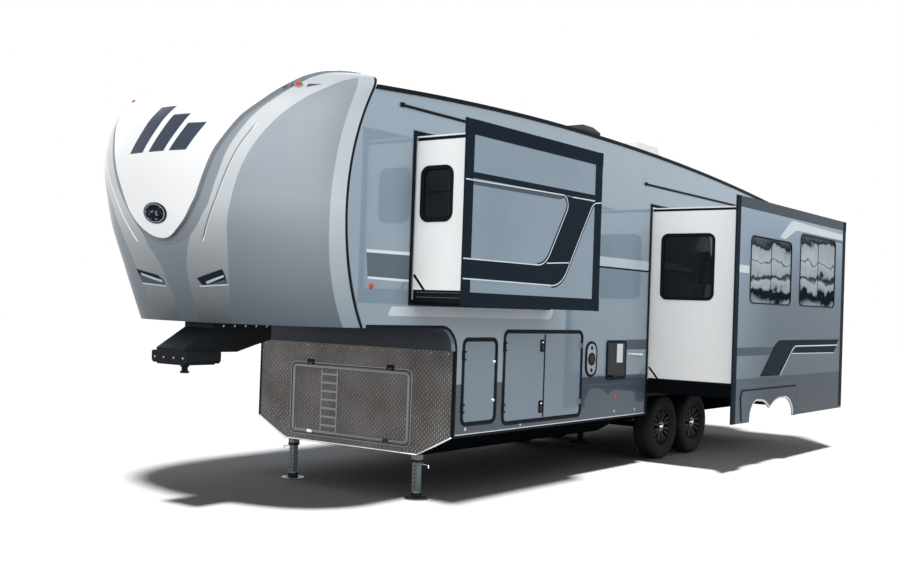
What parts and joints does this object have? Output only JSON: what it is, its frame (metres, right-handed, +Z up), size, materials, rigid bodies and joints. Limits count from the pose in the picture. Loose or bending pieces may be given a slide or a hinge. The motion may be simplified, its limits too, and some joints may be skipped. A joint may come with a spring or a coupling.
{
  "type": "fifth wheel trailer",
  "caption": "Long fifth wheel trailer on two axles with a raised bedroom deck and moulded nose, extended slide-outs, storage doors, landing legs and a kingpin box.",
  "frame": {"origin": "on the ground under the middle of the bounding box", "axes": "+X towards the nose and the kingpin, +Y towards the road side with the slide-outs, +Z up"},
  "size_m": [10.205, 3.934, 3.962],
  "materials": {
    "wall_paint": "gloss",
    "skirt_paint": "gloss",
    "roof_skin": "satin",
    "cap_shell": "gloss",
    "cap_white": "gloss",
    "frame_black": "satin",
    "black_plastic": "satin",
    "white_wall": "gloss",
    "bright_plate": "brushed",
    "steel_grey": "satin",
    "spring_steel": "satin",
    "floor_board": "matt",
    "tinted_glass": "gloss",
    "rubber_tyre": "matt",
    "wheel_alloy": "gloss",
    "white_plastic": "gloss",
    "lamp_red": "gloss",
    "lamp_amber": "gloss",
    "lamp_clear": "gloss",
    "awning_case": "satin"
  },
  "bodies": {
    "body": {"roof": "roof_skin", "roof_edges": "black_plastic", "wall_left": "wall_paint", "wall_right": "wall_paint", "skirts": "skirt_paint", "wall_rear": "wall_paint", "floor_main": "floor_board", "nose_cap": "cap_shell", "cap_panel": "cap_white", "docking_lights": "lamp_clear", "upper_deck": "black_plastic", "storage_walls": "floor_board", "basement_front": "bright_plate", "front_cove": "black_plastic", "frame_rails": "frame_black", "cross_members": "frame_black", "underbelly": "black_plastic", "landing_legs": "steel_grey", "stabiliser_jacks": "steel_grey", "pin_box": "frame_black", "pin_head": "frame_black", "axles": "frame_black", "springs": "spring_steel", "door_hinges": "steel_grey", "slide_runners": "frame_black", "windows": "tinted_glass", "air_conditioner": "white_plastic", "skylight": "black_plastic", "roof_vents": "white_plastic", "awning": "awning_case", "bumper": "frame_black", "ladder": "steel_grey", "tail_lights": "lamp_red", "entry_steps": "frame_black", "grab_handle": "steel_grey", "utility_hatches": "black_plastic", "marker_lights": "lamp_amber"},
    "main_slide": {"main_slide_box": "white_wall", "main_slide_face": "wall_paint", "main_slide_glass": "tinted_glass", "slide_underframe": "frame_black"},
    "bed_slide": {"bed_slide_box": "white_wall", "bed_slide_face": "wall_paint", "bed_slide_glass": "tinted_glass"},
    "entry_door": {"entry_door": "wall_paint", "entry_glass": "tinted_glass"},
    "front_hatch": {"front_hatch": "bright_plate"},
    "baggage_door_narrow": {"baggage_door_narrow": "wall_paint"},
    "baggage_door_front": {"baggage_door_front": "wall_paint"},
    "baggage_door_rear": {"baggage_door_rear": "wall_paint"},
    "baggage_door_right": {"baggage_door_right": "wall_paint"},
    "wheel_front_left": {"tyre_front_left": "rubber_tyre", "rim_front_left": "wheel_alloy"},
    "wheel_front_right": {"tyre_front_right": "rubber_tyre", "rim_front_right": "wheel_alloy"},
    "wheel_rear_left": {"tyre_rear_left": "rubber_tyre", "rim_rear_left": "wheel_alloy"},
    "wheel_rear_right": {"tyre_rear_right": "rubber_tyre", "rim_rear_right": "wheel_alloy"}
  },
  "joints": [
    {"name": "main_slide_travel", "type": "slide", "parent": "body", "child": "main_slide", "axis": [0, 1, 0], "range_m": [-1.005, 0]},
    {"name": "bed_slide_travel", "type": "slide", "parent": "body", "child": "bed_slide", "axis": [0, 1, 0], "range_m": [-0.5, 0]},
    {"name": "entry_door_hinge", "type": "hinge", "parent": "body", "child": "entry_door", "pos_m": [0.2445, -1.557, 1.85], "axis": [0, 0, 1], "range_deg": [0, 110]},
    {"name": "front_hatch_hinge", "type": "hinge", "parent": "body", "child": "front_hatch", "pos_m": [2.7095, -0.342, 1.157], "axis": [0, -1, 0], "range_deg": [0, 95]},
    {"name": "baggage_door_narrow_hinge", "type": "hinge", "parent": "body", "child": "baggage_door_narrow", "pos_m": [2.5495, 0.903, 1.08], "axis": [0, 0, -1], "range_deg": [0, 100]},
    {"name": "baggage_door_front_hinge", "type": "hinge", "parent": "body", "child": "baggage_door_front", "pos_m": [1.8975, 0.903, 1.1], "axis": [0, 0, -1], "range_deg": [0, 100]},
    {"name": "baggage_door_rear_hinge", "type": "hinge", "parent": "body", "child": "baggage_door_rear", "pos_m": [0.4955, 0.903, 1.1], "axis": [0, 0, 1], "range_deg": [0, 100]},
    {"name": "baggage_door_right_hinge", "type": "hinge", "parent": "body", "child": "baggage_door_right", "pos_m": [2.3445, -1.557, 1.08], "axis": [0, 0, 1], "range_deg": [0, 100]},
    {"name": "wheel_front_left_spin", "type": "hinge", "parent": "body", "child": "wheel_front_left", "pos_m": [-1.8025, 0.6385, 0.392], "axis": [0, 1, 0], "continuous": true},
    {"name": "wheel_front_right_spin", "type": "hinge", "parent": "body", "child": "wheel_front_right", "pos_m": [-1.8025, -1.2925, 0.392], "axis": [0, 1, 0], "continuous": true},
    {"name": "wheel_rear_left_spin", "type": "hinge", "parent": "body", "child": "wheel_rear_left", "pos_m": [-2.6725, 0.6385, 0.392], "axis": [0, 1, 0], "continuous": true},
    {"name": "wheel_rear_right_spin", "type": "hinge", "parent": "body", "child": "wheel_rear_right", "pos_m": [-2.6725, -1.2925, 0.392], "axis": [0, 1, 0], "continuous": true}
  ]
}
